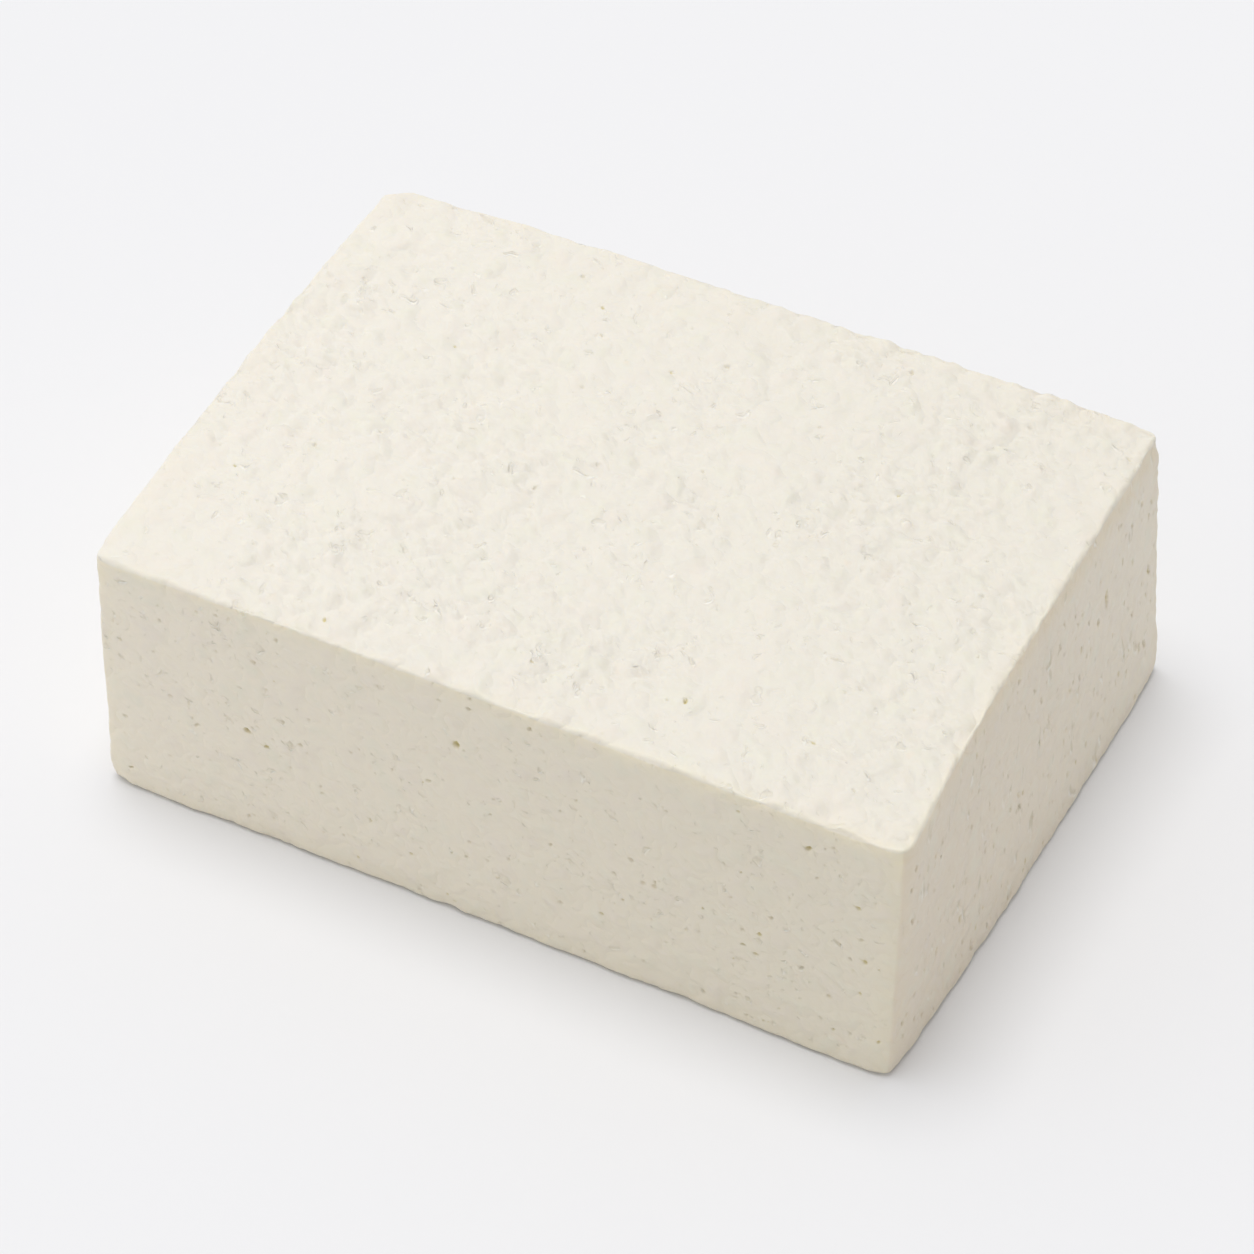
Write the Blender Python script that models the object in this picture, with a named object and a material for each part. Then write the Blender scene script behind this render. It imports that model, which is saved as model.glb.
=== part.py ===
"""One block of firm tofu, cut by hand from a bigger slab and standing on its underside.

Metres, +Z up. X runs along the block's length and Y across its width, from the front face
to the back face. The origin is the middle of the underside.
"""

import math

import bmesh
import bpy
from mathutils import Matrix, Vector, noise
from mathutils.bvhtree import BVHTree

MM = 0.001

# ---------------------------------------------------------------- driving dimensions

LENGTH = 114.0 * MM
WIDTH = 79.1 * MM
HEIGHT = 41.7 * MM
SIZES = (LENGTH, WIDTH, HEIGHT)
ROUGH_OVERSIZE = 1.5

# The four side cuts, none of them quite square: the way the face looks, how far the cut
# is turned about the vertical, and how far its foot leans out, both in degrees.
SIDE_CUTS = (
    (Vector((0, -1, 0)), -0.7, 1.6),
    (Vector((0, 1, 0)), 0.3, 1.4),
    (Vector((1, 0, 0)), 0.8, 1.4),
    (Vector((-1, 0, 0)), -0.4, 1.3),
)
TOP_RISE_TO_BACK = 1.6
TOP_RISE_TO_RIGHT = 0.4

# The cut edges are crisp, and only a little rounded.
EDGE_RADIUS = 0.65 * MM
EDGE_SEGMENTS = 3
GRID_SPACING = 3.6 * MM

# The pressed curd stands up in the middle of the top and bellies out at two sides, and the
# foot of the front face is a little hollow.
CROWN_ALONG = 0.45 * MM
CROWN_ACROSS = 0.45 * MM
BELLY_LEFT = 0.8 * MM
BELLY_BACK = 0.45 * MM
HOLLOW_FRONT = 0.4 * MM

# The foot is rounder than the other edges. It is drawn in under the sides, and the block's
# own weight presses it a little flatter.
FOOT_SQUASH = 0.8
FOOT_TUCK = 0.6 * MM
FOOT_ROUND = 1.2 * MM

# The eight corners are worn, and so are the four upright edges, each by its own amount.
CORNER_WEAR = 0.4 * MM
CORNER_REACH = 2.2 * MM
UPRIGHT_WEAR = {
    (1, -1): 0.9 * MM, (-1, -1): 0.6 * MM, (1, 1): 0.3 * MM, (-1, 1): 0.3 * MM}
UPRIGHT_REACH = 1.8 * MM

# The near end of the right side is pushed out a little at the top and drawn in at the foot.
PUSH_OUT = 1.1 * MM
PUSH_REACH = 12.0 * MM
DRAW_IN = 1.3 * MM
DRAW_REACH = 22.0 * MM

# Nowhere is the surface quite even, and least of all along the edges.
WAVE_LENGTH = 13.0 * MM
WAVE_HEIGHT = 0.15 * MM
EDGE_WAVE_LENGTH = 7.0 * MM
EDGE_WAVE_HEIGHT = 0.11 * MM
EDGE_WAVE_REACH = 3.0 * MM
FLAT_FOOT = 2.0 * MM

# The back left corner of the top was knocked and is blunt.
BLUNT_CORNER = Vector((-LENGTH / 2, WIDTH / 2, HEIGHT))
BLUNT_DIRECTION = Vector((-0.40, 0.62, 0.68)).normalized()
BLUNT_DEPTH = 1.9 * MM
BLUNT_SOFTNESS = 0.85

# The bigger pores: the face that each opens on, its place on that face, across it and then
# up it or towards the back, and how wide it opens, all in millimetres.
PORES = (
    ("top", 23, -29, 1.2),
    ("top", -19, 29, 0.9),
    ("top", -48, -17, 0.8),
    ("top", 40, -28, 0.9),
    ("top", 31, 14, 0.8),
    ("front", -35, 19, 1.6),
    ("front", -4, 31, 1.5),
    ("front", 45, 36, 1.2),
    ("front", 52, 29, 1.0),
    ("front", 53, 20, 0.9),
    ("front", 38, 14, 1.1),
    ("right", 22, 29, 1.7),
    ("right", 27, 31, 0.9),
    ("right", 35, 18, 0.8),
    ("right", 14, 27, 0.9),
    ("right", -22, 12, 1.0),
    ("back", 30, 24, 1.3),
    ("back", -12, 14, 1.0),
    ("back", -41, 30, 0.9),
    ("left", 18, 25, 1.2),
    ("left", -14, 15, 1.0),
)
PORE_HEIGHT_SHARE = 0.75
PORE_DEPTH_SHARE = 0.45
PORE_ROUNDNESS = 2

IVORY = (0.78, 0.74, 0.65, 1.0)
ROUGHNESS = 0.55


# ---------------------------------------------------------------- the block

def knife_cuts():
    """Each cut as a point on it and the direction of what it takes off."""
    cuts = [(Vector((0, 0, 0)), Vector((0, 0, -1)))]
    for outward, turn, lean in SIDE_CUTS:
        middle = Vector((outward.x * LENGTH / 2, outward.y * WIDTH / 2, HEIGHT / 2))
        direction = outward.copy()
        direction.rotate(Matrix.Rotation(math.radians(turn), 3, "Z"))
        direction.z = math.tan(math.radians(lean))
        cuts.append((middle, direction.normalized()))
    slope = Vector((-math.tan(math.radians(TOP_RISE_TO_RIGHT)),
                    -math.tan(math.radians(TOP_RISE_TO_BACK)), 1))
    cuts.append((Vector((0, 0, HEIGHT)), slope.normalized()))
    return cuts


def cut_from_slab(bm):
    """A rough piece of slab, trimmed by six knife cuts."""
    rough = Matrix.Diagonal([size * ROUGH_OVERSIZE for size in SIZES] + [1.0])
    bmesh.ops.create_cube(bm, size=1.0, matrix=Matrix.Translation((0, 0, HEIGHT / 2)) @ rough)
    for point, direction in knife_cuts():
        everything = bm.verts[:] + bm.edges[:] + bm.faces[:]
        cut = bmesh.ops.bisect_plane(
            bm, geom=everything, dist=1e-6, plane_co=point, plane_no=direction, clear_outer=True)
        rim = [part for part in cut["geom_cut"] if isinstance(part, bmesh.types.BMEdge)]
        bmesh.ops.edgeloop_fill(bm, edges=rim)


def lay_grid(bm, spacing):
    """Divide the long edges, one direction after another, so that every face is a grid."""
    for axis, size in enumerate(SIZES):
        long_edges = []
        for edge in bm.edges:
            run = edge.verts[1].co - edge.verts[0].co
            if run.length > size / 2 and abs(run.normalized()[axis]) > 0.9:
                long_edges.append(edge)
        bmesh.ops.subdivide_edges(
            bm, edges=long_edges, cuts=round(size / spacing) - 1, use_grid_fill=True)


def nearness_to_edge(point):
    """1 on an edge of the block, fading to 0 a few millimetres away from it."""
    gaps = sorted((LENGTH / 2 - abs(point.x), WIDTH / 2 - abs(point.y),
                   min(point.z, HEIGHT - point.z)))
    return math.exp(-(max(gaps[1], 0) / EDGE_WAVE_REACH) ** 2)


def corner_wear(point):
    """How far, and which way, the wear of the nearest corner draws a point in."""
    side = Vector((math.copysign(1, point.x), math.copysign(1, point.y),
                   math.copysign(1, point.z - HEIGHT / 2)))
    corner = Vector([sign * size / 2 for sign, size in zip(side, SIZES)])
    gap = (point - Vector((0, 0, HEIGHT / 2)) - corner).length
    return -side.normalized() * CORNER_WEAR * math.exp(-(gap / CORNER_REACH) ** 2)


def upright_wear(point):
    """How far, and which way, the wear of the nearest upright edge draws a point in."""
    side_x = math.copysign(1, point.x)
    side_y = math.copysign(1, point.y)
    gap = 0
    for place, outward in knife_cuts()[1:5]:
        if max(side_x * outward.x, side_y * outward.y) > 0.5:
            gap += max((place - point).dot(outward), 0)
    wear = UPRIGHT_WEAR[side_x, side_y] * math.exp(-gap / UPRIGHT_REACH)
    return -Vector((side_x, side_y, 0)).normalized() * wear


def settling(height):
    """How far a point at this height sinks as the rounding of the foot is pressed flatter."""
    if height < EDGE_RADIUS:
        return (1 - FOOT_SQUASH) * height
    return (1 - FOOT_SQUASH) * EDGE_RADIUS * (HEIGHT - height) / (HEIGHT - EDGE_RADIUS)


def tuck(height):
    """How far the foot is drawn in at this height, under the sides."""
    return FOOT_TUCK * max(1 - height / FOOT_ROUND, 0) ** 2


def soft_form(point, normal):
    """Where a point of the squarely trimmed block lies on the soft, uneven one."""
    along = point.x / (LENGTH / 2)
    across = point.y / (WIDTH / 2)
    height = point.z / HEIGHT
    belly = BELLY_BACK * (1 + across) / 2
    hollow = HOLLOW_FRONT * (1 - across) / 2 * (1 - height)
    from_front = point.y + WIDTH / 2
    push = PUSH_OUT * height * math.exp(-(from_front / PUSH_REACH) ** 2)
    push -= DRAW_IN * (1 - height) * math.exp(-(from_front / DRAW_REACH) ** 2)
    move = Vector((
        max(along, 0) * push - BELLY_LEFT * (1 - across ** 2) * (1 - along) / 2
        - along * tuck(point.z),
        (belly + hollow) * (1 - along ** 2) - across * tuck(point.z),
        height * (CROWN_ALONG * (1 - along ** 2) + CROWN_ACROSS * (1 - across ** 2))
        - settling(point.z),
    ))
    wave = WAVE_HEIGHT * noise.noise(point / WAVE_LENGTH)
    edge_wave = EDGE_WAVE_HEIGHT * noise.noise(point / EDGE_WAVE_LENGTH)
    uneven = normal * (wave + nearness_to_edge(point) * edge_wave)
    uneven += corner_wear(point) + upright_wear(point)
    uneven.z *= min(1.0, point.z / FLAT_FOOT)
    moved = point + move + uneven
    past_flat = (moved - BLUNT_CORNER).dot(BLUNT_DIRECTION) + BLUNT_DEPTH
    if past_flat > 0:
        moved -= BLUNT_DIRECTION * past_flat * BLUNT_SOFTNESS
    return moved


def stand_on_origin(bm):
    """Bring the middle of the underside to the origin."""
    spans = list(zip(*(vert.co for vert in bm.verts)))
    middle_x, middle_y, _ = [(min(span) + max(span)) / 2 for span in spans]
    foot = min(spans[2])
    bmesh.ops.translate(bm, verts=bm.verts, vec=(-middle_x, -middle_y, -foot))


def block_mesh():
    bm = bmesh.new()
    cut_from_slab(bm)
    bmesh.ops.bevel(
        bm, geom=bm.edges[:], offset=EDGE_RADIUS, offset_type="OFFSET", segments=EDGE_SEGMENTS,
        profile=0.5, affect="EDGES", clamp_overlap=True, material=-1)
    lay_grid(bm, GRID_SPACING)
    bmesh.ops.recalc_face_normals(bm, faces=bm.faces)
    bm.normal_update()
    places = [soft_form(vert.co, vert.normal) for vert in bm.verts]
    for vert, place in zip(bm.verts, places):
        vert.co = place
    stand_on_origin(bm)
    return bm


# ---------------------------------------------------------------- its bigger pores

def face_point(face, across, up):
    """A point near the named face, from its place on that face in millimetres."""
    if face == "top":
        return Vector((across * MM, up * MM, HEIGHT))
    if face in ("front", "back"):
        side = -1 if face == "front" else 1
        return Vector((across * MM, side * WIDTH / 2, up * MM))
    side = -1 if face == "left" else 1
    return Vector((side * LENGTH / 2, across * MM, up * MM))


def pore_cutters(block):
    """Flattened balls that sit half in the surface, one at each pore."""
    surface = BVHTree.FromBMesh(block)
    cutters = bmesh.new()
    for face, across, up, opening in PORES:
        place, normal, _, _ = surface.find_nearest(face_point(face, across, up))
        radius = opening * MM / 2
        turn = normal.to_track_quat("Z", "Y").to_matrix().to_4x4()
        squash = Matrix.Diagonal((1.0, PORE_HEIGHT_SHARE, 2 * PORE_DEPTH_SHARE, 1.0))
        bmesh.ops.create_icosphere(
            cutters, subdivisions=PORE_ROUNDNESS, radius=radius,
            matrix=Matrix.Translation(place) @ turn @ squash)
    return cutters


# ---------------------------------------------------------------- objects and material

def tofu_material():
    material = bpy.data.materials.new("tofu")
    material.use_nodes = True
    shader = material.node_tree.nodes["Principled BSDF"]
    shader.inputs["Base Color"].default_value = IVORY
    shader.inputs["Roughness"].default_value = ROUGHNESS
    shader.inputs["Metallic"].default_value = 0.0
    material.diffuse_color = IVORY
    return material


def add_object(name, bm):
    mesh = bpy.data.meshes.new(name)
    bm.to_mesh(mesh)
    bm.free()
    mesh.shade_smooth()
    thing = bpy.data.objects.new(name, mesh)
    bpy.context.scene.collection.objects.link(thing)
    return thing


def main():
    for thing in list(bpy.data.objects):
        bpy.data.objects.remove(thing, do_unlink=True)
    block = block_mesh()
    cutters = pore_cutters(block)
    tofu = add_object("tofu_block", block)
    tofu.data.materials.append(tofu_material())
    pores = add_object("pore_cutters", cutters)
    pores.hide_render = True
    pores.display_type = "WIRE"
    carve = tofu.modifiers.new("carve pores", "BOOLEAN")
    carve.operation = "DIFFERENCE"
    carve.solver = "EXACT"
    carve.object = pores


main()
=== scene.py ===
# %% [markdown]
# # A block of firm tofu
# Firm tofu is soy curd that was pressed in a cloth-lined box and then cut into blocks. The top of
# this block is the pressed skin: low, pillowy lumps of curd with shallow creases between them.
# The four sides are knife cuts: flatter, painted a little yellower for the warmer light they get,
# and open with small pores. The finished part has one piece, so all the work goes into its form,
# its surface and its material.

# %% [markdown]
# ## The frame
# The imported model is loaded first. It says how large the block is and where it stands, so every
# later size starts from its box. The box is also kept, to compare with the finished piece.

# %% Load the frame and read the block's box
import math
import random

import bmesh
import bpy
from mathutils import Matrix, Vector, noise
from mathutils.bvhtree import BVHTree
from mathutils.kdtree import KDTree


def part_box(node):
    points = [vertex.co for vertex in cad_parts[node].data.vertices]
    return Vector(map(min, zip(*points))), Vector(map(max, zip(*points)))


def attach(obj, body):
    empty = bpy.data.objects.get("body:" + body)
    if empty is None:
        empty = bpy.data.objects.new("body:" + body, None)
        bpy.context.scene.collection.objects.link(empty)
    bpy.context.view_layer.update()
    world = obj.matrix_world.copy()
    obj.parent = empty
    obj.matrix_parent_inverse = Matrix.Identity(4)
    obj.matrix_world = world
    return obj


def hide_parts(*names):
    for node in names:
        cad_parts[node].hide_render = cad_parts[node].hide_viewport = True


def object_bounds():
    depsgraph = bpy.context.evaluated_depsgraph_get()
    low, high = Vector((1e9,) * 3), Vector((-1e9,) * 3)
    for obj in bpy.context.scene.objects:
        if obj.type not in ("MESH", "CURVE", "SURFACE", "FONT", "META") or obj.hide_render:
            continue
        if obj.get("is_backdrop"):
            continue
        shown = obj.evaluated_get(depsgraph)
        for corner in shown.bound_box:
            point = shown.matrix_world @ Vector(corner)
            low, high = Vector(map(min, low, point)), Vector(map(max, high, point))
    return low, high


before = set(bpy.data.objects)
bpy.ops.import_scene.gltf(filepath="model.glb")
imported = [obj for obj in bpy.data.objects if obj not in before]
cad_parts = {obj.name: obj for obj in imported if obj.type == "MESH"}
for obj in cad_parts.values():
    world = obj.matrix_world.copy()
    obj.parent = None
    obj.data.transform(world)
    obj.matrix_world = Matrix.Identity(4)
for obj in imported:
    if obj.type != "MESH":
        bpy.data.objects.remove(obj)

MM = 0.001
cad_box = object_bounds()
block_low, block_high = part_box("tofu_block")
print("block, mm:", [round(side / MM, 1) for side in block_high - block_low])

# %% [markdown]
# ## The camera
# The block is seen from its front right corner, from well above, through a long lens that keeps
# its edges nearly parallel. A camera looks down its own -Z, so it is placed along the line of
# sight, turned to look back along that line, and then tipped a little about it.

# %% Camera at the viewing angle
CAMERA_AZIMUTH = math.radians(29.0)
CAMERA_ELEVATION = math.radians(45.1)
CAMERA_ROLL = math.radians(-1.9)
CAMERA_DISTANCE = 0.789
CAMERA_LENS_MM = 172.2
CAMERA_SENSOR_MM = 36.0
AIM = Vector((-5.1, 7.6, 9.2)) * MM


def add_camera():
    towards_camera = Vector((
        math.sin(CAMERA_AZIMUTH) * math.cos(CAMERA_ELEVATION),
        -math.cos(CAMERA_AZIMUTH) * math.cos(CAMERA_ELEVATION),
        math.sin(CAMERA_ELEVATION),
    ))
    camera = bpy.data.objects.new("camera", bpy.data.cameras.new("camera"))
    camera.data.lens = CAMERA_LENS_MM
    camera.data.sensor_width = CAMERA_SENSOR_MM
    facing = towards_camera.to_track_quat("Z", "Y").to_matrix().to_4x4()
    tip = Matrix.Rotation(CAMERA_ROLL, 4, "Z")
    camera.matrix_world = Matrix.Translation(AIM + towards_camera * CAMERA_DISTANCE) @ facing @ tip
    bpy.context.scene.collection.objects.link(camera)
    bpy.context.scene.camera = camera
    return camera


camera = add_camera()
print("camera at, mm:", [round(value / MM) for value in camera.location])

# %% [markdown]
# ## Floor and light
# A large pale floor fills the picture. A sky that is brighter on the left fills every shadow and
# shades the low relief of the curd, as a very wide soft box would. One broad lamp, high up and a
# little to the left and behind, adds the shadow at the right and in front. A sun lamp with a wide
# angle acts as that lamp, since its light is the same over the whole floor.

# %% Floor, sky and soft lamp
FLOOR_SIZE = 12.0
FLOOR_COLOUR = (0.80, 0.80, 0.815, 1.0)
SKY_STRENGTH = 0.66
SKY_SLOPE = 0.20
SKY_BRIGHTER_SIDE = Vector((-0.99, 0.12, 0.0))
LAMP_STRENGTH = 1.45
LAMP_ANGLE = math.radians(32)
LAMP_TURN = math.radians(-63)
LAMP_HEIGHT = math.radians(84)


def add_floor():
    bm = bmesh.new()
    bmesh.ops.create_grid(bm, x_segments=1, y_segments=1, size=FLOOR_SIZE / 2)
    mesh = bpy.data.meshes.new("floor")
    bm.to_mesh(mesh)
    bm.free()
    paper = bpy.data.materials.new("pale floor")
    paper.use_nodes = True
    shader = paper.node_tree.nodes["Principled BSDF"]
    shader.inputs["Base Color"].default_value = FLOOR_COLOUR
    shader.inputs["Roughness"].default_value = 1.0
    shader.inputs["Specular IOR Level"].default_value = 0.0
    mesh.materials.append(paper)
    floor = bpy.data.objects.new("floor", mesh)
    bpy.context.scene.collection.objects.link(floor)
    floor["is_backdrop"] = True


def add_light():
    world = bpy.data.worlds.new("even sky")
    world.use_nodes = True
    tree = world.node_tree
    sky = tree.nodes["Background"]
    sky.inputs["Color"].default_value = (1.0, 1.0, 1.0, 1.0)
    direction = tree.nodes.new("ShaderNodeTexCoord").outputs["Generated"]
    towards_side = tree.nodes.new("ShaderNodeVectorMath")
    towards_side.operation = "DOT_PRODUCT"
    towards_side.inputs[1].default_value = SKY_BRIGHTER_SIDE
    tree.links.new(direction, towards_side.inputs[0])
    strength = tree.nodes.new("ShaderNodeMath")
    strength.operation = "MULTIPLY_ADD"
    strength.inputs[1].default_value = SKY_SLOPE
    strength.inputs[2].default_value = SKY_STRENGTH
    tree.links.new(towards_side.outputs["Value"], strength.inputs[0])
    tree.links.new(strength.outputs[0], sky.inputs["Strength"])
    bpy.context.scene.world = world
    lamp = bpy.data.objects.new("soft lamp", bpy.data.lights.new("soft lamp", "SUN"))
    lamp.data.energy = LAMP_STRENGTH
    lamp.data.angle = LAMP_ANGLE
    towards_lamp = Vector((
        math.sin(LAMP_TURN) * math.cos(LAMP_HEIGHT),
        math.cos(LAMP_TURN) * math.cos(LAMP_HEIGHT),
        math.sin(LAMP_HEIGHT),
    ))
    lamp.rotation_euler = towards_lamp.to_track_quat("Z", "Y").to_euler()
    bpy.context.scene.collection.objects.link(lamp)


add_floor()
add_light()
bpy.context.scene.view_settings.view_transform = "Standard"
print("floor and light are set")

# %% [markdown]
# ## Six knife cuts
# A block of tofu is cut out of a bigger slab, so the mesh is made that way too. A rough cube is
# trimmed by one bisect_plane for each face. No cut is quite square: each side leans out a little
# at its foot, and the top rises towards the back. These are the sizes that the solid was cut to.

# %% Trim a rough cube with six knife cuts
LENGTH = 114.0 * MM
WIDTH = 79.1 * MM
HEIGHT = 41.7 * MM
SIZES = (LENGTH, WIDTH, HEIGHT)
ROUGH_OVERSIZE = 1.5

# The way each side looks, how far its cut is turned about the vertical, and how far its foot
# leans out, in degrees.
SIDE_CUTS = (
    (Vector((0, -1, 0)), -0.7, 1.6),
    (Vector((0, 1, 0)), 0.3, 1.4),
    (Vector((1, 0, 0)), 0.8, 1.4),
    (Vector((-1, 0, 0)), -0.4, 1.3),
)
TOP_RISE_TO_BACK = 1.6
TOP_RISE_TO_RIGHT = 0.4
# A direction faces along an axis when more than this share of it does.
FACING_ALONG = 0.7


def knife_cuts():
    """Each cut as a point on it and the direction of what it takes off."""
    cuts = [(Vector((0, 0, 0)), Vector((0, 0, -1)))]
    for outward, turn, lean in SIDE_CUTS:
        middle = Vector((outward.x * LENGTH / 2, outward.y * WIDTH / 2, HEIGHT / 2))
        direction = outward.copy()
        direction.rotate(Matrix.Rotation(math.radians(turn), 3, "Z"))
        direction.z = math.tan(math.radians(lean))
        cuts.append((middle, direction.normalized()))
    slope = Vector((-math.tan(math.radians(TOP_RISE_TO_RIGHT)),
                    -math.tan(math.radians(TOP_RISE_TO_BACK)), 1))
    cuts.append((Vector((0, 0, HEIGHT)), slope.normalized()))
    return cuts


def cut_from_slab(bm):
    rough = Matrix.Diagonal([size * ROUGH_OVERSIZE for size in SIZES] + [1.0])
    bmesh.ops.create_cube(bm, size=1.0, matrix=Matrix.Translation((0, 0, HEIGHT / 2)) @ rough)
    for point, direction in knife_cuts():
        everything = bm.verts[:] + bm.edges[:] + bm.faces[:]
        cut = bmesh.ops.bisect_plane(
            bm, geom=everything, dist=1e-6, plane_co=point, plane_no=direction, clear_outer=True)
        rim = [part for part in cut["geom_cut"] if isinstance(part, bmesh.types.BMEdge)]
        bmesh.ops.edgeloop_fill(bm, edges=rim)


bm = bmesh.new()
cut_from_slab(bm)
print("after the cuts:", len(bm.faces), "faces")

# %% [markdown]
# ## Soft edges and a fine grid
# Wet curd cannot hold a sharp edge, so all twelve edges are bevelled round. The relief that
# follows needs many small faces of even size. Dividing only the long edges, one direction after
# another, lays such a grid without touching the corners. The underside lies on the floor and
# stays one face: it is taken out first and filled again at the end, which saves its faces for
# the sides that show.

# %% Round the edges and lay the grid
EDGE_RADIUS = 0.65 * MM
EDGE_SEGMENTS = 4
GRID_SPACING = 0.72 * MM
# A long edge runs nearly straight along one axis, and over more than half of that side.
NEARLY_STRAIGHT = 0.9


def round_edges(bm):
    bmesh.ops.bevel(
        bm, geom=bm.edges[:], offset=EDGE_RADIUS, offset_type="OFFSET", segments=EDGE_SEGMENTS,
        profile=0.5, affect="EDGES", clamp_overlap=True, material=-1)
    bmesh.ops.recalc_face_normals(bm, faces=bm.faces)


def open_underside(bm):
    largest_down = max(bm.faces, key=lambda face: -face.normal.z * face.calc_area())
    bmesh.ops.delete(bm, geom=[largest_down], context="FACES_ONLY")


def lay_grid(bm, spacing):
    for axis, size in enumerate(SIZES):
        long_edges = []
        for edge in bm.edges:
            run = edge.verts[1].co - edge.verts[0].co
            if run.length > size / 2 and abs(run.normalized()[axis]) > NEARLY_STRAIGHT:
                long_edges.append(edge)
        bmesh.ops.subdivide_edges(
            bm, edges=long_edges, cuts=round(size / spacing) - 1, use_grid_fill=True)


round_edges(bm)
open_underside(bm)
lay_grid(bm, GRID_SPACING)
bm.normal_update()
print("after the grid:", len(bm.faces), "faces")

# %% [markdown]
# ## The soft form
# The cut block is stiff and straight, and the real one is not. Its pressed curd stands up in the
# middle of the top and bellies out at two sides. Its foot has settled and is drawn in under the
# sides, and its corners and upright edges are worn. The near end of the right side is pushed out
# at the top and drawn in at the foot, and the far left corner of the top was knocked blunt. Each
# of these is a short formula that moves a point. They are the formulas of the solid, so apart
# from its relief this piece lies on the solid to a fraction of a millimetre.

# %% Bend the straight block into its soft form
FOOT_SQUASH = 0.8
FOOT_TUCK = 0.6 * MM
FOOT_ROUND = 1.2 * MM
CROWN_ALONG = 0.45 * MM
CROWN_ACROSS = 0.45 * MM
BELLY_LEFT = 0.8 * MM
BELLY_BACK = 0.45 * MM
HOLLOW_FRONT = 0.4 * MM
CORNER_WEAR = 0.4 * MM
CORNER_REACH = 2.2 * MM
# The wear of each upright edge, by the signs of its x and y.
UPRIGHT_WEAR = {
    (1, -1): 0.9 * MM, (-1, -1): 0.6 * MM, (1, 1): 0.3 * MM, (-1, 1): 0.3 * MM}
UPRIGHT_REACH = 1.8 * MM
SIDE_PLANES = knife_cuts()[1:5]
PUSH_OUT = 1.1 * MM
PUSH_REACH = 12.0 * MM
DRAW_IN = 1.3 * MM
DRAW_REACH = 22.0 * MM
WAVE_LENGTH = 13.0 * MM
WAVE_HEIGHT = 0.15 * MM
EDGE_WAVE_LENGTH = 7.0 * MM
EDGE_WAVE_HEIGHT = 0.11 * MM
EDGE_WAVE_REACH = 3.0 * MM
FLAT_FOOT = 2.0 * MM
BLUNT_CORNER = Vector((-LENGTH / 2, WIDTH / 2, HEIGHT))
BLUNT_DIRECTION = Vector((-0.40, 0.62, 0.68)).normalized()
BLUNT_DEPTH = 1.9 * MM
BLUNT_SOFTNESS = 0.85


def nearness_to_edge(point, reach):
    """1 on an edge of the block, fading to 0 over the reach."""
    gaps = sorted((LENGTH / 2 - abs(point.x), WIDTH / 2 - abs(point.y),
                   min(point.z, HEIGHT - point.z)))
    return math.exp(-(max(gaps[1], 0) / reach) ** 2)


def corner_wear(point):
    """How far, and which way, the wear of the nearest corner draws a point in."""
    side = Vector((math.copysign(1, point.x), math.copysign(1, point.y),
                   math.copysign(1, point.z - HEIGHT / 2)))
    corner = Vector([sign * size / 2 for sign, size in zip(side, SIZES)])
    gap = (point - Vector((0, 0, HEIGHT / 2)) - corner).length
    return -side.normalized() * CORNER_WEAR * math.exp(-(gap / CORNER_REACH) ** 2)


def upright_wear(point):
    """How far, and which way, the wear of the nearest upright edge draws a point in."""
    side_x = math.copysign(1, point.x)
    side_y = math.copysign(1, point.y)
    gap = 0
    for place, outward in SIDE_PLANES:
        if max(side_x * outward.x, side_y * outward.y) > FACING_ALONG:
            gap += max((place - point).dot(outward), 0)
    wear = UPRIGHT_WEAR[side_x, side_y] * math.exp(-gap / UPRIGHT_REACH)
    return -Vector((side_x, side_y, 0)).normalized() * wear


def settling(height):
    """How far a point at this height sinks as the rounding of the foot is pressed flatter."""
    if height < EDGE_RADIUS:
        return (1 - FOOT_SQUASH) * height
    return (1 - FOOT_SQUASH) * EDGE_RADIUS * (HEIGHT - height) / (HEIGHT - EDGE_RADIUS)


def tuck(height):
    """How far the foot is drawn in at this height, under the sides."""
    return FOOT_TUCK * max(1 - height / FOOT_ROUND, 0) ** 2


def soft_form(point, normal, relief):
    """Where a point of the straight block lies on the soft one, raised by its relief."""
    along = point.x / (LENGTH / 2)
    across = point.y / (WIDTH / 2)
    height = point.z / HEIGHT
    belly = BELLY_BACK * (1 + across) / 2
    hollow = HOLLOW_FRONT * (1 - across) / 2 * (1 - height)
    from_front = point.y + WIDTH / 2
    push = PUSH_OUT * height * math.exp(-(from_front / PUSH_REACH) ** 2)
    push -= DRAW_IN * (1 - height) * math.exp(-(from_front / DRAW_REACH) ** 2)
    move = Vector((
        max(along, 0) * push - BELLY_LEFT * (1 - across ** 2) * (1 - along) / 2
        - along * tuck(point.z),
        (belly + hollow) * (1 - along ** 2) - across * tuck(point.z),
        height * (CROWN_ALONG * (1 - along ** 2) + CROWN_ACROSS * (1 - across ** 2))
        - settling(point.z),
    ))
    wave = WAVE_HEIGHT * noise.noise(point / WAVE_LENGTH)
    edge_wave = EDGE_WAVE_HEIGHT * noise.noise(point / EDGE_WAVE_LENGTH)
    nearness = nearness_to_edge(point, EDGE_WAVE_REACH)
    uneven = normal * (wave + nearness * edge_wave + relief)
    uneven += corner_wear(point) + upright_wear(point)
    uneven.z *= min(1.0, point.z / FLAT_FOOT)
    moved = point + move + uneven
    past_flat = (moved - BLUNT_CORNER).dot(BLUNT_DIRECTION) + BLUNT_DEPTH
    if past_flat > 0:
        moved -= BLUNT_DIRECTION * past_flat * BLUNT_SOFTNESS
    return moved


print("the soft form is defined")
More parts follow.
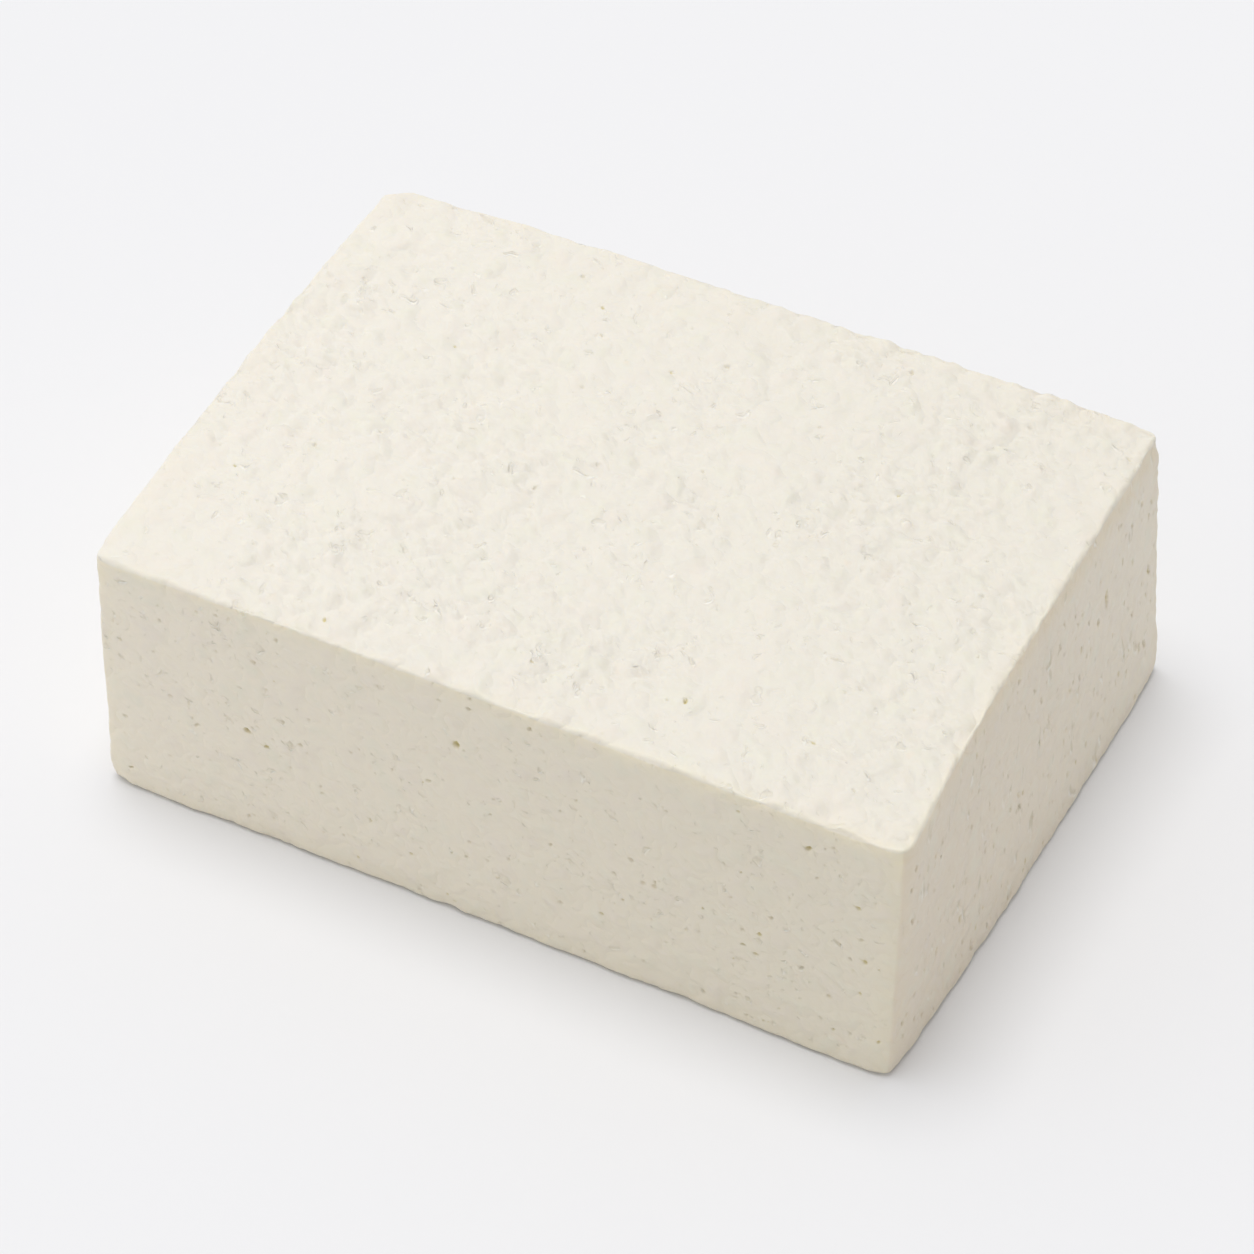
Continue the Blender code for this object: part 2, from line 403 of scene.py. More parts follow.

# %% [markdown]
# ## The relief of the curd
# Pressed curd is a mass of soft lumps, squeezed together until only shallow creases are left
# between them. A Voronoi field has the same make-up: the gap between a point's nearest and
# second nearest cell is 0 in the creases and grows towards the crown of each lump. Bending the
# point with noise first keeps the lumps from looking like tiles, and slow noise lets some of
# the creases close up. The knife has flattened most of it on the cut sides. Along the edges small
# crumbs are missing. All of this is mesh, since light and shadow have to follow it.
#
# The colours later need to know where a point lies, and that is known best now, on the straight
# block. So each point keeps four values: how far it belongs to the pressed skin, how far the knife
# dragged it along, which it did on the two ends, how near it is to an edge, and how much painted
# light falls on it. The upper edges of the front and of the right end count in full, and all
# others less; among other tints, this nearness sets where the painted glow of the edges lies.

# %% Lumps, creases and crumbled edges
LUMP_SIZE = 5.0 * MM
LUMP_HEIGHT = 0.40 * MM
SMALL_LUMP_SIZE = 2.6 * MM
SMALL_LUMP_HEIGHT = 0.44 * MM
LUMP_BEND = 0.32
# Blender moves its vector noise by random amounts, and the seed keeps them the same each run.
LUMP_SEED = 7
CREASE_WIDTH = 0.45
CREASE_PATCH = 16.0 * MM
CREASE_MEAN = 0.55
CREASE_DRIFT = 1.3
CREASE_LIMITS = (0.1, 1.2)
SWELL_SIZE = 3.4 * MM
SWELL_HEIGHT = 0.44 * MM
SWELL_RISE = 0.3
CUT_SIDE_SHARE = 0.33
# Two sizes of crumb, and how much each moves the edge in and out.
CRUMBS = ((3.2 * MM, 0.24 * MM), (1.5 * MM, 0.25 * MM))
CRUMB_LOSS = 0.3
CRUMB_REACH = 1.3 * MM
CRUMBS_LOW_DOWN = 0.3
EDGE_BAND = 2.6 * MM
LESSER_EDGES = 0.35
# Painted light: the cut is painted paler from this distance from the near corner on, over the next
# one, as light that falls more strongly there.
PAINTED_LIGHT_FROM = 10.0 * MM
PAINTED_LIGHT_OVER = 100.0 * MM
# Each of these begins at its first value and is complete at its second.
SKIN_FADE = (0.1, 0.45)
DRAG_FADE = (0.4, 0.9)
RELIEF_FADE = (0.75, 0.98)
HIGH_CRUMBS_FADE = (0.85, 0.95)
HIGH_EDGES_FADE = (0.8, 0.95)
NEAR_SIDES_FADE = (-0.5, 0.1)


def fade(value, start, end):
    """0 below start, 1 above end, and a smooth rise between them."""
    share = min(max((value - start) / (end - start), 0.0), 1.0)
    return share * share * (3 - 2 * share)


def lumps(point, size):
    """Lumps of one size: 0 in the creases between them, 1 on their crowns."""
    bent = point / size + LUMP_BEND * noise.noise_vector(point / size)
    distances, _ = noise.voronoi(bent)
    height = min((distances[1] - distances[0]) / CREASE_WIDTH, 1.0)
    return height * (2 - height)


def curd_relief(point, pressed):
    """How far the curd stands out at this point: creases go in, and lumps swell out a little."""
    least, most = CREASE_LIMITS
    creased = CREASE_MEAN + CREASE_DRIFT * noise.noise(point / CREASE_PATCH)
    creased = min(max(creased, least), most)
    depth = LUMP_HEIGHT * creased * (lumps(point, LUMP_SIZE) - 1)
    depth += SMALL_LUMP_HEIGHT * creased * (lumps(point, SMALL_LUMP_SIZE) - 1)
    swell = SWELL_HEIGHT * (noise.noise(point / SWELL_SIZE) + SWELL_RISE)
    share = CUT_SIDE_SHARE + (1 - CUT_SIDE_SHARE) * pressed
    crumbs = sum(move * (noise.noise(point / size) - CRUMB_LOSS) for size, move in CRUMBS)
    high = fade(point.z / HEIGHT, *HIGH_CRUMBS_FADE)
    crumbs *= CRUMBS_LOW_DOWN + (1 - CRUMBS_LOW_DOWN) * high
    return share * (depth + swell) + nearness_to_edge(point, CRUMB_REACH) * crumbs


def painted_light_falloff(point, skin):
    """How much painted light falls on a point: more towards the left, and away from the near
    corner.
    """
    on_skin = 0.5 - point.x / LENGTH
    from_corner = math.hypot(point.x - LENGTH / 2, point.y + WIDTH / 2)
    on_cut = min(max((from_corner - PAINTED_LIGHT_FROM) / PAINTED_LIGHT_OVER, 0.0), 1.0)
    return skin * on_skin + (1 - skin) * on_cut


def shape_block(bm):
    """Keep each point's values, then move every point at once to its place on the soft form."""
    skin_layer = bm.verts.layers.float.new("skin")
    edge_layer = bm.verts.layers.float.new("edge")
    drag_layer = bm.verts.layers.float.new("drag")
    painted_light_layer = bm.verts.layers.float.new("painted_light")
    places = []
    for vert in bm.verts:
        vert[skin_layer] = fade(vert.normal.z, *SKIN_FADE)
        vert[drag_layer] = fade(abs(vert.normal.x), *DRAG_FADE)
        # The painted light falloff: paler towards the left and away from the near corner.
        vert[painted_light_layer] = painted_light_falloff(vert.co, vert[skin_layer])
        full = fade(vert.co.z / HEIGHT, *HIGH_EDGES_FADE)
        full *= fade(vert.normal.x - vert.normal.y, *NEAR_SIDES_FADE)
        count = LESSER_EDGES + (1 - LESSER_EDGES) * full
        vert[edge_layer] = nearness_to_edge(vert.co, EDGE_BAND) * count
        relief = curd_relief(vert.co, fade(vert.normal.z, *RELIEF_FADE))
        places.append(soft_form(vert.co, vert.normal, relief))
    for vert, place in zip(bm.verts, places):
        vert.co = place


def stand_on_frame(bm):
    """Bring the middle of the foot to where the frame has it."""
    spans = list(zip(*(vert.co for vert in bm.verts)))
    middle = Vector([(min(span) + max(span)) / 2 for span in spans])
    wanted = (block_low + block_high) / 2
    shift = Vector((wanted.x - middle.x, wanted.y - middle.y, block_low.z - min(spans[2])))
    bmesh.ops.translate(bm, verts=bm.verts, vec=shift)
    return shift


noise.seed_set(LUMP_SEED)
shape_block(bm)
shift = stand_on_frame(bm)
print("shaped; then moved as a whole by, mm:", [round(value / MM, 2) for value in shift])

# %% [markdown]
# ## Open pores
# Steam and whey leave small bubbles in the curd, and a cut opens them. The largest are placed
# one by one, as on the solid. The rest are strewn by a seeded random draw, more of them on the
# cut sides than on the skin. On the two ends the knife dragged them, so there they are long,
# narrow, deep and nearly upright. Each pore needs faces much smaller than the grid, so the edges
# near every pore are divided first, all in one call, and then the points inside it are pushed in
# along a steep-walled bowl. How deep a point was pushed is kept in an attribute, for the colour.

# %% Choose where the pores open
# The face, the place across and up it, and the width, in millimetres.
LARGE_PORES = (
    ("top", 23, -29, 1.2),
    ("top", -19, 29, 0.9),
    ("top", -48, -17, 0.8),
    ("top", 40, -28, 0.9),
    ("top", 31, 14, 0.8),
    ("front", -35, 19, 1.6),
    ("front", -4, 31, 1.5),
    ("front", 45, 36, 1.2),
    ("front", 52, 29, 1.0),
    ("front", 53, 20, 0.9),
    ("front", 38, 14, 1.1),
    ("right", 22, 29, 1.7),
    ("right", 27, 31, 0.9),
    ("right", 35, 18, 0.8),
    ("right", 14, 27, 0.9),
    ("right", -22, 12, 1.0),
    ("back", 30, 24, 1.3),
    ("back", -12, 14, 1.0),
    ("back", -41, 30, 0.9),
    ("left", 18, 25, 1.2),
    ("left", -14, 15, 1.0),
)
SMALL_PORES = {"top": 70, "front": 170, "back": 170, "right": 210, "left": 210}
SMALL_PORE_WIDTH = (0.45, 0.95)
PORE_NARROWNESS = (0.35, 0.9)
PORE_DEPTH_SHARE = (0.25, 0.5)
PORE_MARGIN = 1.5 * MM
# Painted light: this share of the pores is painted fully yellow, and the rest faintly, for light
# that has passed through more curd.
FULLY_PAINTED_YELLOW_SHARE = 0.12
FAINT_PAINTED_YELLOW = 0.2
PORE_SEED = 14
DRAGGED_TURN = 0.12
DRAGGED_LENGTH = 1.7
DRAGGED_WIDTH = 0.6
DRAGGED_DEPTH = 1.3


def face_point(face, across, up):
    """A point near the named face, from its place on that face in metres."""
    if face == "top":
        return Vector((across, up, HEIGHT))
    if face in ("front", "back"):
        side = -1 if face == "front" else 1
        return Vector((across, side * WIDTH / 2, up))
    side = -1 if face == "left" else 1
    return Vector((side * LENGTH / 2, across, up))


def face_span(face):
    """The lowest and highest place across and up a face, in metres, inside its margins."""
    half_across = WIDTH / 2 if face in ("left", "right") else LENGTH / 2
    across = (-half_across + PORE_MARGIN, half_across - PORE_MARGIN)
    if face == "top":
        return across, (-WIDTH / 2 + PORE_MARGIN, WIDTH / 2 - PORE_MARGIN)
    return across, (PORE_MARGIN, HEIGHT - PORE_MARGIN)


def strewn_pores(draw):
    """The small pores: a place near the surface, the width, and how yellow each is."""
    small, large = SMALL_PORE_WIDTH
    for face, count in SMALL_PORES.items():
        across, up = face_span(face)
        for _ in range(count):
            width = small + (large - small) * draw.random() ** 2
            painted_yellow = 1.0 if draw.random() < FULLY_PAINTED_YELLOW_SHARE else FAINT_PAINTED_YELLOW
            yield face_point(face, draw.uniform(*across), draw.uniform(*up)), width * MM, painted_yellow


def choose_pores(bm):
    """Every pore: its centre on the surface, the way it faces, its half length and half width,
    how it is turned, its depth and how yellow it is."""
    surface = BVHTree.FromBMesh(bm)
    draw = random.Random(PORE_SEED)
    wanted = [(face_point(face, across * MM, up * MM), width * MM, 1.0)
              for face, across, up, width in LARGE_PORES]
    wanted += strewn_pores(draw)
    pores = []
    for place, width, painted_yellow in wanted:
        centre, normal, _, _ = surface.find_nearest(place)
        turn = draw.uniform(0, math.pi)
        narrow = draw.uniform(*PORE_NARROWNESS)
        depth = width * draw.uniform(*PORE_DEPTH_SHARE)
        if abs(normal.x) > FACING_ALONG:
            turn *= DRAGGED_TURN
            width *= DRAGGED_LENGTH
            narrow *= DRAGGED_WIDTH
            depth *= DRAGGED_DEPTH
        pores.append((centre, normal, width / 2, width / 2 * narrow, turn, depth, painted_yellow))
    return pores


pores = choose_pores(bm)
print("pores:", len(pores))

# %% Divide the faces round each pore and push the bowls in
PORE_CUTS = 3
FINE_REACH = 0.25 * MM
WALL_START = 0.3
RIM_ROUGHNESS = 0.6
RIM_ROUGH_SIZE = 0.5 * MM
SEARCH_REACH = 1.5


def tree_of_points(bm):
    """The points of the mesh in a tree that finds the near ones quickly."""
    bm.verts.index_update()
    bm.verts.ensure_lookup_table()
    tree = KDTree(len(bm.verts))
    for vert in bm.verts:
        tree.insert(vert.co, vert.index)
    tree.balance()
    return tree


def divide_near(bm, pores):
    """Divide the edges in and near every pore."""
    tree = tree_of_points(bm)
    near = set()
    for centre, _, half_length, *_ in pores:
        for _, index, _ in tree.find_range(centre, half_length + FINE_REACH + GRID_SPACING / 2):
            near.add(index)
    edges = [edge for edge in bm.edges if all(vert.index in near for vert in edge.verts)]
    bmesh.ops.subdivide_edges(bm, edges=edges, cuts=PORE_CUTS, use_grid_fill=True)
    bm.normal_update()


def bowl(distance):
    """1 at the floor of a pore, 0 at its rim: a flat floor and steep walls."""
    return 1 - fade(distance, WALL_START, 1.0)


def push_pores(bm, pores):
    """Push the points of every pore in, and keep how deep each lies and how yellow it is."""
    pore_layer = bm.verts.layers.float.new("pore")
    tree = tree_of_points(bm)
    for centre, normal, half_length, half_width, turn, depth, painted_yellow in pores:
        side = Vector((0, 0, 1)) if abs(normal.z) < FACING_ALONG else Vector((1, 0, 0))
        side = (side - normal * side.dot(normal)).normalized()
        side.rotate(Matrix.Rotation(turn, 3, normal))
        other = normal.cross(side)
        for _, index, _ in tree.find_range(centre, half_length * SEARCH_REACH):
            vert = bm.verts[index]
            gap = vert.co - centre
            reach = math.hypot(gap.dot(side) / half_length, gap.dot(other) / half_width)
            rough = 1 + RIM_ROUGHNESS * noise.noise(vert.co / RIM_ROUGH_SIZE)
            share = bowl(reach * rough)
            vert.co -= normal * depth * share
            vert[pore_layer] = max(vert[pore_layer], painted_yellow * share)


divide_near(bm, pores)
push_pores(bm, pores)
print("with pores:", len(bm.faces), "faces")

# %% [markdown]
# ## Closing the underside
# The foot's rim lies flat on the floor, and one face closes it. An inset puts a narrow band
# inside the rim, so that the smooth shading of the rounded foot ends in the band and the middle
# of the underside stays evenly flat.

# %% Close the underside and make the object
UNDERSIDE_BAND = 1.0 * MM


def close_underside(bm):
    rim = [edge for edge in bm.edges if edge.is_boundary]
    filled = bmesh.ops.edgeloop_fill(bm, edges=rim)
    bmesh.ops.inset_region(bm, faces=filled["faces"], thickness=UNDERSIDE_BAND)
    bmesh.ops.recalc_face_normals(bm, faces=bm.faces)


def add_piece(name, bm):
    mesh = bpy.data.meshes.new(name)
    bm.to_mesh(mesh)
    bm.free()
    mesh.shade_smooth()
    piece = bpy.data.objects.new(name, mesh)
    bpy.context.scene.collection.objects.link(piece)
    return piece


close_underside(bm)
open_edges = sum(1 for edge in bm.edges if not edge.is_manifold)
triangles = sum(len(face.verts) - 2 for face in bm.faces)
tofu = add_piece("tofu", bm)
print("open edges:", open_edges, "triangles:", triangles)

# %% [markdown]
# ## How close it lies to the solid
# The new piece stands for the solid in every picture, so it must have the same shape. The
# distance from each of its points to the solid's surface says how well they agree.

# %% Measure the piece against the solid
def distances_to_solid(piece):
    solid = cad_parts["tofu_block"]
    corners = [vert.co.copy() for vert in solid.data.vertices]
    faces = [tuple(face.vertices) for face in solid.data.polygons]
    surface = BVHTree.FromPolygons(corners, faces)
    return sorted(surface.find_nearest(vert.co)[3] for vert in piece.data.vertices)


gaps = distances_to_solid(tofu)
print("gap to the solid, mm: half under", round(gaps[len(gaps) // 2] / MM, 3),
      "largest", round(gaps[-1] / MM, 3))

# %% [markdown]
# ## The surface finer than the mesh
# The smallest marks are finer than any mesh could hold, so they belong to the material, as height
# for its bump and as painted shade in their hollows and a painted highlight on their lips. Each
# effect is a node group with named inputs. The groups use the place on the object itself, so a
# mark stays where it is from any side.
#
# - Marks: the lowest hollows of a crooked noise field, which leaves short torn pits and
#   scratches. The higher the share, the more of the surface they take.
# - Mottle: one colour drifts towards a warmer and a cooler one.

# %% Short ways to write nodes
SOCKET_KINDS = {1: "NodeSocketFloat", 3: "NodeSocketVector", 4: "NodeSocketColor"}


def plug(tree, value, socket):
    """Link a socket into an input, or set the input to a number or a colour."""
    if isinstance(value, bpy.types.NodeSocket):
        tree.links.new(value, socket)
    else:
        socket.default_value = value


def math_node(tree, operation, *values):
    node = tree.nodes.new("ShaderNodeMath")
    node.operation = operation
    for value, socket in zip(values, node.inputs):
        plug(tree, value, socket)
    return node.outputs[0]


def mix_colours(tree, factor, first, second):
    node = tree.nodes.new("ShaderNodeMix")
    node.data_type = "RGBA"
    sockets = [socket for socket in node.inputs if socket.enabled]
    for value, socket in zip((factor, first, second), sockets):
        plug(tree, value, socket)
    return next(socket for socket in node.outputs if socket.enabled)


def smooth_range(tree, value, low, high):
    """0 where the value is at low, 1 where it is at high, smooth between them."""
    node = tree.nodes.new("ShaderNodeMapRange")
    node.interpolation_type = "SMOOTHSTEP"
    plug(tree, value, node.inputs["Value"])
    plug(tree, low, node.inputs["From Min"])
    plug(tree, high, node.inputs["From Max"])
    return node.outputs["Result"]


def noise_node(tree, place, per_metre, detail=2.0, distortion=0.0):
    node = tree.nodes.new("ShaderNodeTexNoise")
    plug(tree, place, node.inputs["Vector"])
    plug(tree, per_metre, node.inputs["Scale"])
    plug(tree, detail, node.inputs["Detail"])
    plug(tree, distortion, node.inputs["Distortion"])
    return node.outputs["Fac"]


def vector_node(tree, operation, *values):
    node = tree.nodes.new("ShaderNodeVectorMath")
    node.operation = operation
    for value, socket in zip(values, node.inputs):
        plug(tree, value, socket)
    return node.outputs["Vector"]


def new_group(name, inputs, output, kind="NodeSocketFloat"):
    """A node group: inputs by name, each a number, a place or a colour, and one output."""
    group = bpy.data.node_groups.new(name, "ShaderNodeTree")
    for input_name, value in inputs.items():
        socket = group.interface.new_socket(
            input_name, in_out="INPUT", socket_type=SOCKET_KINDS[len(value)])
        socket.default_value = value if len(value) > 1 else value[0]
    group.interface.new_socket(output, in_out="OUTPUT", socket_type=kind)
    start = group.nodes.new("NodeGroupInput").outputs
    end = group.nodes.new("NodeGroupOutput").inputs
    return group, start, end


def use_group(tree, group, **values):
    """Put a group into a tree; values are given by input name, with _ for a space."""
    node = tree.nodes.new("ShaderNodeGroup")
    node.node_tree = group
    for name, value in values.items():
        plug(tree, value, node.inputs[name.replace("_", " ")])
    return node.outputs[0]


print("node helpers are ready")

# %% Node groups for marks and mottle
MARK_CROOKEDNESS = 0.6
DEEPEST_HOLLOW = 0.16
MIDDLE_DRIFT = 0.5
FULLY_WARM = 0.75
FULLY_COOL = 0.25


def marks_group():
    group, start, end = new_group(
        "marks", {"Place": (0, 0, 0), "Marks per metre": (700.0,), "Share": (0.3,)}, "Mark")
    field = noise_node(group, start["Place"], start["Marks per metre"], detail=1.5,
                       distortion=MARK_CROOKEDNESS)
    hollow = math_node(group, "SUBTRACT", start["Share"], field)
    depth = group.nodes.new("ShaderNodeMapRange")
    depth.inputs["From Max"].default_value = DEEPEST_HOLLOW
    plug(group, hollow, depth.inputs["Value"])
    plug(group, depth.outputs["Result"], end["Mark"])
    return group


def mottle_group():
    group, start, end = new_group(
        "mottle", {"Place": (0, 0, 0), "Color": (1, 1, 1, 1), "Warm": (1, 1, 1, 1),
                   "Cool": (1, 1, 1, 1), "Drifts per metre": (120.0,), "Amount": (0.5,)},
        "Color", "NodeSocketColor")
    drift = noise_node(group, start["Place"], start["Drifts per metre"], detail=3.0)
    warm = smooth_range(group, drift, MIDDLE_DRIFT, FULLY_WARM)
    warm = math_node(group, "MULTIPLY", warm, start["Amount"])
    cool = smooth_range(group, drift, MIDDLE_DRIFT, FULLY_COOL)
    cool = math_node(group, "MULTIPLY", cool, start["Amount"])
    warmed = mix_colours(group, warm, start["Color"], start["Warm"])
    plug(group, mix_colours(group, cool, warmed, start["Cool"]), end["Color"])
    return group


marks = marks_group()
mottle = mottle_group()
print("node groups:", [group.name for group in (marks, mottle)])

# %% [markdown]
# ## The tofu material
# One Principled shader covers the block. Light enters curd and comes out a little way off, which
# softens every small shadow, so it has subsurface scattering. The cut sides are painted a little
# yellower than the pressed skin, and the two ends a little pinker and darker still, for the
# warmer, weaker light that the sides get. The edges are painted warmer, and lighter on the front
# and back, as a glow of light through the rounded curd. Towards the left and away from the near
# corner the curd is painted paler, where more light falls on it. In the pores it is painted a
# darker yellow, because that light has passed through more curd. The piece's own attributes say
# where all of these are.
#
# The torn marks come in two sizes, and more of them in some places than in others. Squeezing the
# place before it goes into the noise stretches them: a little on the top, and a long way upright
# on the ends. The same marks moved a short way aside, less the marks themselves, leave a thin
# raised lip along the side of each that faces the light, and the lips are painted pale as a
# highlight. A noise folded at its middle gives the curd small soft folds, and a finer one gives it
# grain.

# %% The tofu material
# Painted light: the cut and end colours are yellower than the skin, and the end colour a little
# darker, for the warmer, weaker light on the sides.
SKIN_COLOUR = (0.762, 0.726, 0.645, 1.0)
# Painted light: this paler skin colour, and the paler cut colour below, for the stronger light
# towards the left and away from the near corner.
PAINTED_LIT_SKIN_COLOUR = (0.808, 0.770, 0.692, 1.0)
CUT_COLOUR = (0.790, 0.732, 0.603, 1.0)
END_COLOUR = (0.790, 0.705, 0.574, 1.0)
PAINTED_LIT_CUT_COLOUR = (0.872, 0.807, 0.680, 1.0)
# Painted light: the edge colours are a warmer glow of light through the rounded edges, lighter on
# the front and back.
EDGE_GLOW_COLOUR = (0.865, 0.790, 0.590, 1.0)
END_EDGE_GLOW_COLOUR = (0.805, 0.705, 0.530, 1.0)
PEACH_COLOUR = (0.815, 0.745, 0.640, 1.0)
WARM_COLOUR = (0.805, 0.735, 0.655, 1.0)
COOL_COLOUR = (0.770, 0.757, 0.630, 1.0)
STAIN_COLOUR = (0.800, 0.680, 0.560, 1.0)
# Painted light: the darker yellow in the pores, for light that has passed through more curd.
PORE_YELLOW_LIGHT_COLOUR = (0.640, 0.545, 0.210, 1.0)
# Painted shade: the marks are painted darker and yellower where shade falls in their hollows.
MARK_SHADE_COLOUR = (0.620, 0.560, 0.400, 1.0)
# Painted highlight: the pale lips on the side of each mark that faces the light.
LIP_HIGHLIGHT_COLOUR = (0.940, 0.915, 0.840, 1.0)
# How much of each of those colours is mixed in.
PORE_YELLOW_LIGHT_TINT = 0.8
MARK_SHADE_TINT = 0.45
FAINTER_ON_TOP = -0.5
DARKER_ON_ENDS = 0.8
LIP_HIGHLIGHT_TINT = 0.9
EDGE_GLOW_TINT = 0.8
PEACH_TINT = 0.3
RIM_GLOW_TINT = 0.35
STAIN_TINT = 0.30
MOTTLE_AMOUNT = 0.35
# How many bumps of each noise there are in a metre.
LARGE_MARKS = 640.0
SMALL_MARKS = 1100.0
MARK_CLUSTERS = 120.0
PEACH_PATCHES = 140.0
MOTTLE_DRIFTS = 300.0
STAIN_SPOTS = 380.0
FOLDS = 300.0
GRAINS = 900.0
MOIST_PATCHES = 300.0
# The values of its noise between which each of these sets in.
PEACH_FADE = (0.45, 0.65)
STAIN_FADE = (0.72, 0.86)
MOIST_FADE = (0.3, 0.7)
# How much of the surface is marked, how the marks are stretched, and how high the relief is.
LEAST_SHARE = 0.198
CLUSTER_CONTRAST = 0.24
LESS_ON_TOP = -0.004
MORE_ON_ENDS = 0.012
STRETCH_ON_TOP = (-0.2, -0.2, 0)
STRETCH_ON_ENDS = (0, -0.15, -0.65)
SMALL_MARK_DEPTH = 0.5
MARK_DEPTH = 0.20 * MM
# The lips lie on the side of each mark that faces the light, where their painted highlight goes.
LIP_SHIFT = Vector((0.16, -0.22, -0.20)) * MM
LIP_HEIGHT = 0.15 * MM
FOLD_HEIGHT = 0.85 * MM
GRAIN_HEIGHT = 0.03 * MM
# Powers of the nearness to an edge: the peach tint spreads wide, and the rim is narrow.
PEACH_SPREAD = 0.3
RIM_SHARPNESS = 4.0
LEAST_ROUGHNESS = 0.46
ROUGHNESS_RANGE = 0.12
SHINE = 0.4
SCATTERING = 0.35
SCATTER_RADIUS = (0.9, 0.8, 0.6)
SCATTER_REACH = 0.6 * MM


def attribute(tree, name):
    node = tree.nodes.new("ShaderNodeAttribute")
    node.attribute_name = name
    return node.outputs["Fac"]


def tinted(tree, colour, other, mask, amount):
    """The colour, moved towards another one by an amount of the mask."""
    return mix_colours(tree, math_node(tree, "MULTIPLY", mask, amount), colour, other)


def torn_marks(tree, place, skin):
    """Two sizes of mark in loose clusters, and on the lit side of each large one a raised rim that
    also carries a painted highlight.
    """
    cluster = noise_node(tree, place, MARK_CLUSTERS, detail=1.0)
    on_top = math_node(tree, "GREATER_THAN", skin, 0.5)
    on_end = math_node(tree, "GREATER_THAN", attribute(tree, "drag"), 0.5)
    share = math_node(tree, "MULTIPLY_ADD", cluster, CLUSTER_CONTRAST, LEAST_SHARE)
    share = math_node(tree, "MULTIPLY_ADD", on_top, LESS_ON_TOP, share)
    share = math_node(tree, "MULTIPLY_ADD", on_end, MORE_ON_ENDS, share)
    stretch = vector_node(tree, "MULTIPLY_ADD", on_top, STRETCH_ON_TOP, (1, 1, 1))
    stretch = vector_node(tree, "MULTIPLY_ADD", on_end, STRETCH_ON_ENDS, stretch)
    place = vector_node(tree, "MULTIPLY", place, stretch)
    large = use_group(tree, marks, Place=place, Marks_per_metre=LARGE_MARKS, Share=share)
    small = use_group(tree, marks, Place=place, Marks_per_metre=SMALL_MARKS, Share=share)
    small = math_node(tree, "MULTIPLY", small, SMALL_MARK_DEPTH)
    beside = vector_node(tree, "SUBTRACT", place, LIP_SHIFT)
    lip_and_highlight = use_group(tree, marks, Place=beside, Marks_per_metre=LARGE_MARKS, Share=share)
    lip_and_highlight = math_node(tree, "MAXIMUM", math_node(tree, "SUBTRACT", lip_and_highlight, large), 0.0)
    return math_node(tree, "MAXIMUM", large, small), lip_and_highlight


def curd_colour(tree, place, skin, mark, lip_and_highlight):
    """The cut sides and the skin, each with its edges, and then what lies over both."""
    on_end = attribute(tree, "drag")
    # The painted light, paler towards the left and away from the near corner, goes into both the
    # cut and the skin colour.
    painted_light = attribute(tree, "painted_light")
    near_edge = attribute(tree, "edge")
    cut = mix_colours(tree, on_end, CUT_COLOUR, END_COLOUR)
    cut = mix_colours(tree, painted_light, cut, PAINTED_LIT_CUT_COLOUR)
    # Painted light: a warmer glow along the edges of the cut sides, lighter on the front and back.
    edge = mix_colours(tree, on_end, EDGE_GLOW_COLOUR, END_EDGE_GLOW_COLOUR)
    cut = tinted(tree, cut, edge, near_edge, EDGE_GLOW_TINT)
    pressed = mix_colours(tree, painted_light, SKIN_COLOUR, PAINTED_LIT_SKIN_COLOUR)
    patch = noise_node(tree, place, PEACH_PATCHES, detail=1.0)
    patch = smooth_range(tree, patch, *PEACH_FADE)
    band = math_node(tree, "POWER", near_edge, PEACH_SPREAD)
    peach = math_node(tree, "MULTIPLY", band, patch)
    pressed = tinted(tree, pressed, PEACH_COLOUR, peach, PEACH_TINT)
    # The narrow rim of the skin takes the same painted glow of the edges.
    rim = math_node(tree, "POWER", near_edge, RIM_SHARPNESS)
    pressed = tinted(tree, pressed, edge, rim, RIM_GLOW_TINT)
    base = mix_colours(tree, skin, cut, pressed)
    base = use_group(tree, mottle, Place=place, Color=base, Warm=WARM_COLOUR, Cool=COOL_COLOUR,
                     Drifts_per_metre=MOTTLE_DRIFTS, Amount=MOTTLE_AMOUNT)
    spots = noise_node(tree, place, STAIN_SPOTS, detail=1.0)
    spots = smooth_range(tree, spots, *STAIN_FADE)
    base = tinted(tree, base, STAIN_COLOUR, spots, STAIN_TINT)
    # Painted shade in the hollows of the marks, fainter on the top and darker on the ends.
    amount = math_node(tree, "MULTIPLY_ADD", skin, FAINTER_ON_TOP * MARK_SHADE_TINT, MARK_SHADE_TINT)
    amount = math_node(tree, "MULTIPLY_ADD", on_end, DARKER_ON_ENDS * MARK_SHADE_TINT, amount)
    base = tinted(tree, base, MARK_SHADE_COLOUR, mark, amount)
    # Painted highlight on the lips.
    base = tinted(tree, base, LIP_HIGHLIGHT_COLOUR, lip_and_highlight, LIP_HIGHLIGHT_TINT)
    # Painted light: the pores are painted a darker yellow.
    return tinted(tree, base, PORE_YELLOW_LIGHT_COLOUR, attribute(tree, "pore"), PORE_YELLOW_LIGHT_TINT)


